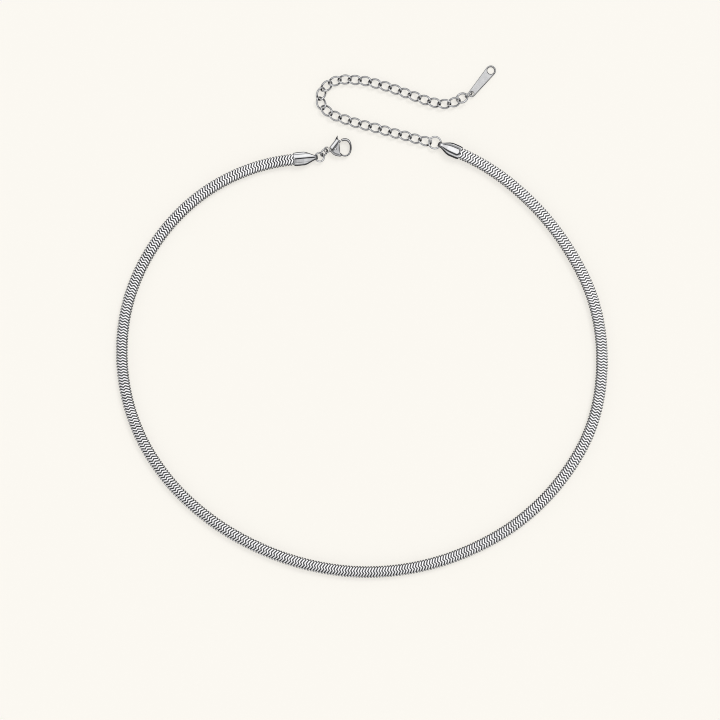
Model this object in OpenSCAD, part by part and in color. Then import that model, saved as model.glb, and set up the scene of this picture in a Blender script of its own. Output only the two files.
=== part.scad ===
// Flat snake chain necklace with a lobster clasp and a curb extender,
// laid out flat and unfastened. Millimetres, +Z up, underside at z = 0.

/* [Snake chain] */
// Width of the snake chain
chain_w = 3.24; // [3.1:0.02:3.26]
// Thickness of the snake chain
chain_t = 2.0; // [1.8:0.05:2.0]

/* [End caps] */
// Length of an end cap
cap_len = 6.95; // [6.9:0.05:7.1]
// Width of an end cap at its widest
cap_w = 3.8; // [3.75:0.05:4]
// Height of an end cap at its mouth
cap_h = 2.56; // [2.5:0.02:2.6]
// Radius of the eye across the cap's tip
cap_eye_r = 0.5; // [0.48:0.01:0.52]

/* [Lobster clasp] */
// Thickness of the clasp
clasp_t = 2.0; // [1.9:0.05:2.1]
// Thickness of the lever
lever_t = 1.06; // [1:0.02:1.1]
// Gap on each side of the lever
lever_gap = 0.05; // [0.04:0.01:0.08]
// Radius of the lever's pin
pin_r = 0.3; // [0.25:0.01:0.32]

/* [Extender] */
// Wire diameter of a curb link
link_wire = 0.55; // [0.45:0.01:0.56]
// Length of a curb link, outside
link_len = 4.18; // [4.16:0.01:4.2]
// Width of a curb link, outside
link_w = 2.92; // [2.9:0.02:3.1]
// Roll of a link's two ends, each its own way
link_twist = 50; // [46:1:52]

/* [Jump rings] */
// Wire diameter of the jump rings
ring_wire = 0.5; // [0.4:0.02:0.5]
// Wire diameter of the end ring
end_ring_wire = 0.58; // [0.5:0.02:0.58]
// Wire diameter of the tag ring
tag_ring_wire = 0.36; // [0.3:0.02:0.36]

/* [Tag] */
// Thickness of the tag
tag_t = 0.5; // [0.45:0.05:0.5]
// Radius of the tag's large hole
tag_hole_r = 1.0; // [0.9:0.02:1.02]
// Radius of the tag's wide end
tag_far_r = 1.47; // [1.44:0.01:1.6]
// Radius of the tag's narrow end
tag_near_r = 0.98; // [0.96:0.02:1.1]

/* [Hidden] */

// Polished steel tones
steel = [0.80, 0.80, 0.81];
steel_bright = [0.86, 0.86, 0.87];
steel_satin = [0.74, 0.74, 0.76];

// Shift that puts the whole thing's middle over the origin
lay = [-0.14, -0.06];
// Centre of the neck loop
loop_at = [0.3, -12.4] + lay;

// Loop of the snake chain: a row is [angle, radius of the centreline],
// from the left cap round by the left, the front and the right
loop_table = [
  [ 90, 56.98], [105, 61.08], [120, 64.62], [135, 67.23], [150, 68.71],
  [165, 69.34], [180, 68.67], [195, 67.1], [210, 64.65], [225, 62.07],
  [240, 60.15], [255, 59.25], [270, 59.27], [285, 59.94], [300, 61.32],
  [315, 63.48], [330, 65.8], [345, 67.96], [360, 68.66], [375, 68.71],
  [390, 67.7], [405, 67.1], [420, 66.9], [435, 66.2], [450, 64.5]];
loop_step = 15;
left_a = 108.4;   // mouth of the left cap
right_a = 425.1;  // mouth of the right cap
tuck_a = 1.7;     // how far the chain runs on into a cap
cap_z = 1.3;      // height of a cap's centreline
rise_a = 8;       // stretch over which the chain climbs into a cap

// Smooth curve through four rows, t = 0 to 1 between the middle two
function cr(p0, p1, p2, p3, t) = 0.5 * (2 * p1 + (p2 - p0) * t
  + (2 * p0 - 5 * p1 + 4 * p2 - p3) * t * t
  + (3 * p1 - p0 - 3 * p2 + p3) * t * t * t);
function loop_r(a) =
  let (s = (a - loop_table[0][0]) / loop_step, i = floor(s))
  cr(loop_table[i - 1][1], loop_table[i][1], loop_table[i + 1][1],
     loop_table[i + 2][1], s - i);
function loop_xy(a) = loop_at + loop_r(a) * [cos(a), sin(a)];
function loop_dir(a) = let (d = loop_xy(a + 0.5) - loop_xy(a - 0.5)) d / norm(d);
function ease(t) = let (c = min(max(t, 0), 1)) c * c * (3 - 2 * c);
// 0 on the open run, 1 at a cap
function near_cap(a) = max(ease((left_a + rise_a - a) / rise_a),
                           ease((a - right_a + rise_a) / rise_a));
// 1 inside a cap, where the chain is pinched a little narrower
function in_cap(a) = max(ease((left_a + 0.5 - a) / 0.5),
                         ease((a - right_a + 0.5) / 0.5));

// Point k of n on a rounded oblong, half sizes a and b
function oblong(a, b, k, n, p = 2.8) =
  let (w = 360 * k / n, c = cos(w), s = sin(w))
  [a * sign(c) * pow(abs(c), 2 / p), b * sign(s) * pow(abs(s), 2 / p)];

// Closed solid through rows of section points, n points a row
module loft(rows, n, ends = true) {
  m = len(rows);
  pts = [for (r = rows) for (p = r) p];
  side = [for (i = [0 : m - (ends ? 2 : 1)]) for (k = [0 : n - 1])
    let (j = (i + 1) % m, a = i * n + k, b = i * n + (k + 1) % n,
         c = j * n + (k + 1) % n, d = j * n + k)
    each [[a, d, c], [a, c, b]]];
  cap0 = ends ? [for (k = [1 : n - 2]) [0, k, k + 1]] : [];
  cap1 = ends ? [for (k = [1 : n - 2]) [(m - 1) * n, (m - 1) * n + k + 1, (m - 1) * n + k]] : [];
  polyhedron(points = pts, faces = concat(side, cap0, cap1), convexity = 8);
}

// ---- snake chain ------------------------------------------------------
chain_rings = 72;
chain_sides = 12;
chain_angles = concat([left_a - tuck_a, left_a, left_a + 0.5],
  [for (i = [0 : chain_rings - 1]) left_a + 3 + (right_a - left_a - 6) * i / (chain_rings - 1)],
  [right_a - 0.5, right_a, right_a + tuck_a]);
module snake_chain() {
  color(steel) loft([for (a = chain_angles)
    let (c = loop_xy(a), d = loop_dir(a), out = [d[1], -d[0]],
         z = chain_t / 2 + (cap_z - chain_t / 2) * near_cap(a),
         hw = chain_w / 2 - 0.1 * in_cap(a))
    [for (k = [0 : chain_sides - 1])
      let (q = oblong(hw, chain_t / 2, k + 0.5, chain_sides, 4.4))
      [c[0] + q[0] * out[0], c[1] + q[0] * out[1], z + q[1]]]], chain_sides);
}

// ---- end caps ---------------------------------------------------------
// A row is [distance from the mouth, half width, half height]
function cap_table() = [
  [0,          cap_w / 2 - 0.16, cap_h / 2 - 0.1],
  [0.18,       cap_w / 2 - 0.03, cap_h / 2],
  [0.8,        cap_w / 2,        cap_h / 2],
  [3.0,        cap_w / 2,        cap_h / 2],
  [3.9,        cap_w / 2 - 0.25, cap_h / 2 - 0.08],
  [4.8,        cap_w / 2 - 0.68, cap_h / 2 - 0.24],
  [5.6,        cap_w / 2 - 1.08, cap_h / 2 - 0.4],
  [6.3,        cap_w / 2 - 1.28, cap_h / 2 - 0.44],
  [cap_len - 0.15, cap_w / 2 - 1.34, cap_h / 2 - 0.5],
  [cap_len,    cap_w / 2 - 1.48, cap_h / 2 - 0.72]];
cap_sides = 20;
cap_pocket = 2.2;
cap_eye_u = cap_len - 0.75;
module end_cap() {
  difference() {
    loft([for (r = cap_table())
      [for (k = [0 : cap_sides - 1])
        let (q = oblong(r[1], r[2], k + 0.5, cap_sides, 3.6)) [r[0], q[0], q[1]]]], cap_sides);
    // pocket that the chain's end is crimped into
    translate([-0.5, 0, 0]) rotate([90, 0, 90]) linear_extrude(cap_pocket + 0.5)
      polygon([for (k = [0 : 23]) oblong(chain_w / 2 - 0.02, chain_t / 2 + 0.05, k + 0.5, 24, 4.6)]);
    // eye across the tip
    translate([cap_eye_u, 0, 0]) rotate([90, 0, 0])
      cylinder(r = cap_eye_r, h = 4, center = true, $fn = 32);
  }
}
// The caps run straight on from the chain
function heading(d) = atan2(d[1], d[0]);
module place_cap(a, way) {
  p = loop_xy(a);
  translate([p[0], p[1], cap_z]) rotate([0, 0, heading(way * loop_dir(a))]) children();
}
module end_cap_left() { color(steel_bright) place_cap(left_a, -1) end_cap(); }
module end_cap_right() { color(steel_bright) place_cap(right_a, 1) end_cap(); }
function eye_xy(a, way) = loop_xy(a) + cap_eye_u * way * loop_dir(a);

// ---- round rings ------------------------------------------------------
module wire_ring(r, wire) {
  rotate_extrude($fn = 64) translate([r, 0]) circle(d = wire, $fn = 24);
}
// A ring threaded through an eye at e, leaving it along heading h
module ring_from_eye(e, z, h, r, wire, slope, roll) {
  translate([e[0], e[1], z]) rotate([0, 0, h]) rotate([roll, 0, 0])
    rotate([0, -slope, 0]) translate([r, 0, 0]) wire_ring(r, wire);
}
ring_a_r = 1.25;
ring_b_r = 1.15;
ring_c_r = 1.72;
end_ring_r = 1.55;
tag_ring_r = 1.1;
module jump_ring_a() {
  color(steel) ring_from_eye(eye_xy(left_a, -1), cap_z, heading(-loop_dir(left_a)),
    ring_a_r, ring_wire, -4, 0);
}
module jump_ring_b() {
  color(steel) translate([-10.58 + lay[0], 48.4 + lay[1], 1.22]) rotate([0, 0, 50]) rotate([58.5, 0, 0])
    wire_ring(ring_b_r, ring_wire - 0.04);
}
module jump_ring_c() {
  color(steel) ring_from_eye(eye_xy(right_a, 1), cap_z, heading(loop_dir(right_a)),
    ring_c_r, ring_wire + 0.02, -9, 5);
}
module end_ring() {
  color(steel) translate([28.9 + lay[0], 64.0 + lay[1], 1.08]) rotate([0, 0, 30]) rotate([-30, 0, 0])
    wire_ring(end_ring_r, end_ring_wire);
}
module tag_ring() {
  color(steel) translate([30.79 + lay[0], 64.91 + lay[1], 1.255]) rotate([0, 0, 30]) rotate([74, 0, 0])
    wire_ring(tag_ring_r, tag_ring_wire);
}

// ---- curb extender ----------------------------------------------------
// Where each link lies: a row is [x, y] of its centre
link_table = [
  [18.3, 51.7], [15.4, 52.4], [12.6, 53.2], [ 9.7, 53.9], [ 6.8, 54.7],
  [ 4.0, 55.5], [ 1.1, 56.2], [-1.8, 57.0], [-4.6, 57.9], [-7.4, 58.9],
  [-9.8, 60.4], [-11.4, 62.5], [-11.4, 65.2], [-9.9, 67.4], [-7.5, 68.8],
  [-4.7, 69.3], [-1.8, 69.2], [ 1.1, 68.9], [ 4.0, 68.2], [ 6.9, 67.4],
  [ 9.7, 66.5], [12.5, 65.5], [15.3, 64.5], [18.1, 63.5], [20.9, 62.7],
  [23.8, 62.3], [26.6, 62.8]];
link_before = [21.06, 50.96];
link_after = [29.0, 64.1];
link_sides = 8;
link_steps = 24;
link_z = 0.86;
function link_xy(i) = i < 0 ? link_before : i >= len(link_table) ? link_after : link_table[i];
// Wire centreline of a link: an oval, rolled one way at one end and the
// other way at the other, so that a row of links lies flat
function link_pt(w) =
  let (p = 2.4, hl = (link_len - link_wire) / 2, hw = (link_w - link_wire) / 2,
       c = cos(w), s = sin(w),
       u = hl * sign(c) * pow(abs(c), 2 / p), v = hw * sign(s) * pow(abs(s), 2 / p),
       b = link_twist * u / hl)
  [u, v * cos(b), v * sin(b)];
function unit(v) = v / norm(v);
module link_shape() {
  loft([for (i = [0 : link_steps - 1])
    let (w = 360 * (i + 0.5) / link_steps, p = link_pt(w),
         d = unit(link_pt(w + 2) - link_pt(w - 2)),
         o = unit(p - d * (p * d)), n = cross(d, o))
    [for (k = [0 : link_sides - 1])
      let (g = 360 * (k + 0.5) / link_sides)
      p + link_wire / 2 * (cos(g) * o + sin(g) * n)]], link_sides, ends = false);
}
module curb_link(i) {
  color(steel) translate([link_xy(i)[0] + lay[0], link_xy(i)[1] + lay[1], link_z])
    rotate([0, 0, heading(link_xy(i + 1) - link_xy(i - 1))]) link_shape();
}

// ---- lobster clasp ----------------------------------------------------
// Plan of the clasp about its hook's centre
clasp_at = [-4.63, 49.82] + lay;
tail_at = [-5.15, -0.63];
tail_r = 0.92;
tail_hole_r = 0.62;
tail_t = 0.52;
pivot_at = [-2.65, -0.5];
hub_r = 0.72;
cheek_t = (clasp_t - lever_t) / 2 - lever_gap;
// Outline of the palm, from the neck round by the dark edge of the lever
palm_plan = [
  [-4.6, -0.42], [-4.3, -0.46], [-3.74, -0.9], [-1.86, 1.66], [-1.66, 1.56],
  [-1.5, 0.6], [-1.42, -0.4], [-1.4, -1.2], [-1.25, -1.7], [-0.95, -2.08],
  [-1.1, -2.52], [-1.9, -2.46], [-2.7, -2.28], [-3.3, -1.95], [-3.72, -1.52],
  [-4.1, -1.12], [-4.6, -0.96]];
palm_mid = [-2.5, -0.6];
// Hollow between the cheeks
slot_plan = [[-5.2, 0.5], [-3.72, -1.04], [-0.9, -1.04], [-1.28, 1.3], [-1.36, 3.2], [-5.2, 3.2]];
// Hook: centreline and half width at angle t, from the palm to its tip
hook_from = -132;
hook_to = 120;
function hook_mid(t) =
  let (c = cos(t), s = sin(t), e = 2 / 2.3)
  [1.68 * sign(c) * pow(abs(c), e), -0.03 + 2.32 * sign(s) * pow(abs(s), e)];
function hook_hw(t) = 0.27 + 0.11 * ease((t - 10) / 60) - 0.06 * ease((-t - 10) / 60) - 0.05 * ease((t - 100) / 20);
function hook_side(t, k, cut) =
  let (d = unit(hook_mid(t + 1) - hook_mid(t - 1)))
  hook_mid(t) + k * (hook_hw(t) - cut) * [d[1], -d[0]];
hook_steps = 32;
function hook_plan(cut) = concat(
  [for (i = [0 : hook_steps]) hook_side(hook_from + (hook_to - hook_from) * i / hook_steps, 1, cut)],
  [for (i = [hook_steps : -1 : 0]) hook_side(hook_from + (hook_to - hook_from) * i / hook_steps, -1, cut)]);
module clasp_body() {
  mid = clasp_t / 2;
  color(steel_bright) translate([clasp_at[0], clasp_at[1], 0]) difference() {
    union() {
      // palm, with its edges eased
      translate([0, 0, 0.14]) linear_extrude(clasp_t - 0.28) polygon(palm_plan);
      linear_extrude(clasp_t) polygon([for (p = palm_plan) palm_mid + 0.92 * (p - palm_mid)]);
      // hook, with its edges eased
      translate([0, 0, mid - 0.5]) linear_extrude(1.0) polygon(hook_plan(0));
      translate([0, 0, mid - 0.68]) linear_extrude(1.36) polygon(hook_plan(0.12));
      // tail eye
      translate([tail_at[0], tail_at[1], mid - tail_t / 2]) cylinder(r = tail_r, h = tail_t, $fn = 48);
    }
    translate([tail_at[0], tail_at[1], -1]) cylinder(r = tail_hole_r, h = 4, $fn = 48);
    // room for the lever
    translate([0, 0, cheek_t]) linear_extrude(clasp_t - 2 * cheek_t) polygon(slot_plan);
    translate([pivot_at[0], pivot_at[1], cheek_t]) cylinder(r = hub_r + 0.1, h = clasp_t - 2 * cheek_t, $fn = 48);
    translate([pivot_at[0], pivot_at[1], -1]) cylinder(r = pin_r + 0.01, h = 4, $fn = 32);
  }
}
module clasp_pin() {
  color(steel) translate([clasp_at[0] + pivot_at[0], clasp_at[1] + pivot_at[1], 0.03])
    cylinder(r = pin_r, h = clasp_t - 0.06, $fn = 32);
}
// Lever: the bar beside the palm, the thumb tab and the gate
lever_plan = [
  [-4.34, -0.1], [-4.42, 0.06], [-3.44, 1.3], [-2.88, 2.0], [-2.62, 2.55],
  [-2.2, 3.36], [-2.06, 3.38], [-2.08, 2.6], [-1.84, 2.24], [-1.44, 2.06],
  [-1.1, 1.86], [-1.04, 1.62], [-1.42, 1.5], [-1.66, 1.15], [-1.84, 0.4],
  [-2.0, -0.3], [-2.2, -0.95], [-3.1, -0.97], [-3.6, -0.9]];
module clasp_lever() {
  color(steel_bright) translate([clasp_at[0], clasp_at[1], clasp_t / 2 - lever_t / 2]) difference() {
    union() {
      linear_extrude(lever_t) polygon(lever_plan);
      translate([pivot_at[0], pivot_at[1], 0]) cylinder(r = hub_r, h = lever_t, $fn = 48);
    }
    translate([pivot_at[0], pivot_at[1], -1]) cylinder(r = pin_r + 0.05, h = 4, $fn = 32);
  }
}

// ---- tag --------------------------------------------------------------
tag_near = [31.72, 65.3] + lay;
tag_far = [37.18, 71.94] + lay;
tag_near_z = 0.73;
tag_near_hole_r = 0.58;
tag_run = norm(tag_far - tag_near);
// the wide end rests on the surface, the narrow end on its ring
tag_slope = asin((tag_near_z - tag_t / 2) / (tag_run + tag_far_r));
tag_flare = asin((tag_far_r - tag_near_r) / tag_run);
tag_plan = concat(
  [for (i = [0 : 16]) let (w = 90 + tag_flare + (180 - 2 * tag_flare) * i / 16)
    tag_near_r * [cos(w), sin(w)]],
  [for (i = [0 : 24]) let (w = -90 - tag_flare + (180 + 2 * tag_flare) * i / 24)
    [tag_run, 0] + tag_far_r * [cos(w), sin(w)]]);
module tag() {
  color(steel_satin) translate([tag_near[0], tag_near[1], tag_near_z])
    rotate([0, 0, heading(tag_far - tag_near)]) rotate([0, tag_slope, 0])
    difference() {
      translate([0, 0, -tag_t / 2]) linear_extrude(tag_t) polygon(tag_plan);
      translate([0, 0, -2]) cylinder(r = tag_near_hole_r, h = 4, $fn = 48);
      translate([tag_run, 0, -2]) cylinder(r = tag_hole_r, h = 4, $fn = 48);
    }
}

snake_chain();
end_cap_left();
end_cap_right();
jump_ring_a();
jump_ring_b();
jump_ring_c();
clasp_body();
clasp_pin();
clasp_lever();
curb_link(0);  // curb_link_01
curb_link(1);  // curb_link_02
curb_link(2);  // curb_link_03
curb_link(3);  // curb_link_04
curb_link(4);  // curb_link_05
curb_link(5);  // curb_link_06
curb_link(6);  // curb_link_07
curb_link(7);  // curb_link_08
curb_link(8);  // curb_link_09
curb_link(9);  // curb_link_10
curb_link(10);  // curb_link_11
curb_link(11);  // curb_link_12
curb_link(12);  // curb_link_13
curb_link(13);  // curb_link_14
curb_link(14);  // curb_link_15
curb_link(15);  // curb_link_16
curb_link(16);  // curb_link_17
curb_link(17);  // curb_link_18
curb_link(18);  // curb_link_19
curb_link(19);  // curb_link_20
curb_link(20);  // curb_link_21
curb_link(21);  // curb_link_22
curb_link(22);  // curb_link_23
curb_link(23);  // curb_link_24
curb_link(24);  // curb_link_25
curb_link(25);  // curb_link_26
curb_link(26);  // curb_link_27
end_ring();
tag_ring();
tag();
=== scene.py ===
import bpy
import math
import numpy as np
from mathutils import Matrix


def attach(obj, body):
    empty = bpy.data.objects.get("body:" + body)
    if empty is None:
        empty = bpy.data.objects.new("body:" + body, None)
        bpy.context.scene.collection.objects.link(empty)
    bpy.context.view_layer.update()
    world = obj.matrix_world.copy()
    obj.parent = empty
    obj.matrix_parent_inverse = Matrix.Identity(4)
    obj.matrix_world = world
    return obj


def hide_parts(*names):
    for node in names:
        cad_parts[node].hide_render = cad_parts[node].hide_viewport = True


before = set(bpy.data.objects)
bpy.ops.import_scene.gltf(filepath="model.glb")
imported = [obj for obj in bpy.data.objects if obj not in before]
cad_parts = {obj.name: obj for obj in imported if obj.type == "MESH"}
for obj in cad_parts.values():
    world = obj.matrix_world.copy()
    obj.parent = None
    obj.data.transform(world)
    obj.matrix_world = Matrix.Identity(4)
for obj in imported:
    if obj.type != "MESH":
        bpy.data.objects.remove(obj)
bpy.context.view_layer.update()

MM = 0.001
LAY = np.array([-0.14, -0.06])          # the whole thing's middle over the origin, mm


# ------------------------------------------------------------------ helpers
def ease(t):
    c = np.clip(t, 0.0, 1.0)
    return c * c * (3 - 2 * c)


def place(points, at=(0, 0, 0), heading=0.0, pre=None):
    """Points in mm, turned by pre (3x3), then by heading about Z, then moved."""
    p = np.asarray(points, float)
    if pre is not None:
        p = p @ np.asarray(pre, float).T
    c, s = math.cos(heading), math.sin(heading)
    r = np.array([[c, -s, 0], [s, c, 0], [0, 0, 1]])
    return p @ r.T + np.array(at, float)


def rot(axis, deg):
    a = math.radians(deg)
    c, s = math.cos(a), math.sin(a)
    if axis == "x":
        return np.array([[1, 0, 0], [0, c, -s], [0, s, c]])
    if axis == "y":
        return np.array([[c, 0, s], [0, 1, 0], [-s, 0, c]])
    return np.array([[c, -s, 0], [s, c, 0], [0, 0, 1]])


def vertex_normals(v, quads):
    out = np.zeros((len(v), 3))
    for tri in (quads[:, [0, 1, 2]], quads[:, [0, 2, 3]]):
        n = np.cross(v[tri[:, 1]] - v[tri[:, 0]], v[tri[:, 2]] - v[tri[:, 0]])
        for k in range(3):
            for d in range(3):
                out[:, d] += np.bincount(tri[:, k], n[:, d], len(v))
    return out / np.maximum(np.linalg.norm(out, axis=1, keepdims=True), 1e-12)


def make(name, verts_mm, quads, ends=(), sharp=None, painted_shade=None, side=0.5, steep=(0.72, 0.15)):
    """A mesh object from points in mm, smooth shaded, split at sharp degrees. Its painted
    shade value is 1 in hollows, and up to side along sloping rims."""
    me = bpy.data.meshes.new(name)
    v = np.array(verts_mm, float)
    v[:, 2] = np.maximum(v[:, 2], 0.0)
    f = np.asarray(quads, np.int32)
    ends = [np.asarray(e, np.int32) for e in ends]
    starts = list(np.arange(0, f.size, 4))
    at = f.size
    for e in ends:
        starts.append(at)
        at += len(e)
    loops = np.concatenate([f.ravel()] + ends) if ends else f.ravel()
    me.vertices.add(len(v))
    me.vertices.foreach_set("co", (v * MM).astype(np.float32).ravel())
    me.loops.add(len(loops))
    me.loops.foreach_set("vertex_index", loops.astype(np.int32))
    me.polygons.add(len(starts))
    me.polygons.foreach_set("loop_start", np.array(starts, np.int32))
    me.update(calc_edges=True)
    me.polygons.foreach_set("use_smooth", np.ones(len(starts), bool))
    if sharp is not None:
        me.set_sharp_from_angle(angle=math.radians(sharp))
    # painted shade along sloping rims, eased off on upright walls
    nz = np.abs(vertex_normals(v, f)[:, 2])
    value = side * ease((steep[0] - nz) / (steep[0] - steep[1])) * (1 - 0.75 * ease((0.45 - nz) / 0.3))
    if painted_shade is not None:
        value = np.maximum(value, np.asarray(painted_shade, float))
    a = me.attributes.new("painted_shade", "FLOAT", "POINT")
    a.data.foreach_set("value", value.astype(np.float32))
    me.validate()
    ob = bpy.data.objects.new(name, me)
    bpy.context.scene.collection.objects.link(ob)
    return ob


def ring_faces(count, rows, sides, closed):
    """Quads of count separate tubes of rows x sides points each."""
    last = rows if closed else rows - 1
    i, k = np.meshgrid(np.arange(last), np.arange(sides), indexing="ij")
    j, m = (i + 1) % rows, (k + 1) % sides
    one = np.stack([i * sides + k, j * sides + k, j * sides + m, i * sides + m], -1).reshape(-1, 4)
    base = (np.arange(count) * rows * sides)[:, None, None]
    return (one[None] + base).reshape(-1, 4)


# ------------------------------------------------------------------ solids from distance functions
def settle(V, h):
    """Fills a corner wherever a cell's face has only two opposite corners inside, since a
    mesh through such a face would share one edge between four faces."""
    for _ in range(12):
        found = 0
        for a, b in ((0, 1), (0, 2), (1, 2)):
            part = {}
            for i in (0, 1):
                for j in (0, 1):
                    cut = [slice(None)] * 3
                    cut[a] = slice(i, V.shape[a] - 1 + i)
                    cut[b] = slice(j, V.shape[b] - 1 + j)
                    part[i, j] = V[tuple(cut)]
            inside = {k: v < 0 for k, v in part.items()}
            one = inside[0, 0] & inside[1, 1] & ~inside[1, 0] & ~inside[0, 1]
            two = inside[1, 0] & inside[0, 1] & ~inside[0, 0] & ~inside[1, 1]
            part[1, 0][one] = -0.02 * h
            part[0, 0][two] = -0.02 * h
            found += int(one.sum() + two.sum())
        if not found:
            return


def surface(f, lo, hi, h):
    """Smooth closed mesh of f = 0 inside the box, one vertex a cell, then pulled onto the surface."""
    # the grid is set off a little, so that none of its points lies on the surface
    lo, hi = np.array(lo, float) - (0.0037, 0.0053, 0.0071), np.array(hi, float)
    n = np.ceil((hi - lo) / h).astype(int) + 1
    ax = [lo[d] + h * np.arange(n[d]) for d in range(3)]
    X, Y, Z = np.meshgrid(*ax, indexing="ij")
    V = f(X, Y, Z)
    settle(V, h)
    total = np.zeros(tuple(n - 1) + (3,), np.float32)
    count = np.zeros(tuple(n - 1), np.float32)
    edges = []
    for d in range(3):
        a = [slice(None)] * 3
        b = [slice(None)] * 3
        a[d], b[d] = slice(0, -1), slice(1, None)
        v0, v1 = V[tuple(a)], V[tuple(b)]
        cross = (v0 < 0) != (v1 < 0)
        idx = np.argwhere(cross)
        t = v0[cross] / (v0[cross] - v1[cross])
        pos = idx.astype(float)
        pos[:, d] += t
        o1, o2 = [e for e in range(3) if e != d]
        for s1 in (0, 1):
            for s2 in (0, 1):
                cell = idx.copy()
                cell[:, o1] -= s1
                cell[:, o2] -= s2
                ok = np.all((cell >= 0) & (cell < n - 1), axis=1)
                c = cell[ok]
                np.add.at(total, (c[:, 0], c[:, 1], c[:, 2]), pos[ok])
                np.add.at(count, (c[:, 0], c[:, 1], c[:, 2]), 1)
        edges.append((d, idx, v0[cross] < 0))
    used = count > 0
    number = np.full(count.shape, -1, np.int64)
    number[used] = np.arange(int(used.sum()))
    verts = total[used] / count[used][:, None] * h + lo
    faces = []
    for d, idx, inside in edges:
        o1, o2 = [(1, 2), (2, 0), (0, 1)][d]
        ok = (idx[:, o1] > 0) & (idx[:, o2] > 0) & (idx[:, o1] < n[o1] - 1) & (idx[:, o2] < n[o2] - 1)
        e, ins = idx[ok], inside[ok]
        quad = []
        for s1, s2 in ((0, 0), (1, 0), (1, 1), (0, 1)):
            c = e.copy()
            c[:, o1] -= s1
            c[:, o2] -= s2
            quad.append(number[c[:, 0], c[:, 1], c[:, 2]])
        q = np.stack(quad, -1)
        q[~ins] = q[~ins][:, ::-1]
        faces.append(q)
    faces = np.concatenate(faces)
    p = verts.astype(float)
    e = h * 0.35
    for _ in range(3):
        g = np.stack([
            f(p[:, 0] + e, p[:, 1], p[:, 2]) - f(p[:, 0] - e, p[:, 1], p[:, 2]),
            f(p[:, 0], p[:, 1] + e, p[:, 2]) - f(p[:, 0], p[:, 1] - e, p[:, 2]),
            f(p[:, 0], p[:, 1], p[:, 2] + e) - f(p[:, 0], p[:, 1], p[:, 2] - e)], -1) / (2 * e)
        val = f(p[:, 0], p[:, 1], p[:, 2])
        step = (val / np.maximum((g * g).sum(-1), 0.3))[:, None] * g
        size = np.linalg.norm(step, axis=1, keepdims=True)
        p = p - step * np.minimum(1, 0.4 * h / np.maximum(size, 1e-9))
    return p + 0.01 * (verts - p), faces


def smin(a, b, k):
    m = np.maximum(k - np.abs(a - b), 0) / k
    return np.minimum(a, b) - m * m * k * 0.25


def smax(a, b, k):
    return -smin(-a, -b, k)


def chaikin(pts, times=2):
    p = np.array(pts, float)
    for _ in range(times):
        q = np.roll(p, -1, axis=0)
        p = np.stack([0.75 * p + 0.25 * q, 0.25 * p + 0.75 * q], 1).reshape(-1, 2)
    return p


def poly_sdf(x, y, poly):
    """Signed distance to a closed outline, negative inside."""
    best = np.full(np.shape(x), 1e9)
    inside = np.zeros(np.shape(x), bool)
    n = len(poly)
    for i in range(n):
        ax_, ay_ = poly[i]
        bx_, by_ = poly[(i + 1) % n]
        ex, ey = bx_ - ax_, by_ - ay_
        wx, wy = x - ax_, y - ay_
        t = np.clip((wx * ex + wy * ey) / max(ex * ex + ey * ey, 1e-12), 0, 1)
        best = np.minimum(best, (wx - ex * t) ** 2 + (wy - ey * t) ** 2)
        if ay_ != by_:
            hit = ((ay_ > y) != (by_ > y)) & (x < ex * (y - ay_) / (by_ - ay_) + ax_)
            inside ^= hit
    d = np.sqrt(best)
    return np.where(inside, -d, d)


def plan_sdf(x, y, poly):
    """poly_sdf, worked out once for each column of a grid."""
    if np.ndim(x) == 3:
        flat = poly_sdf(x[:, :, 0], y[:, :, 0], poly)
        return np.broadcast_to(flat[:, :, None], x.shape)
    return poly_sdf(x, y, poly)


def slab(d2, z, half, r):
    """An outline raised to half either way, its edges rounded by r."""
    a, b = d2 + r, np.abs(z) - half + r
    return np.minimum(np.maximum(a, b), 0) + np.hypot(np.maximum(a, 0), np.maximum(b, 0)) - r


# ------------------------------------------------------------------ materials
def node(nt, kind, **sets):
    n = nt.nodes.new(kind)
    for k, v in sets.items():
        setattr(n, k, v)
    return n


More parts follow.
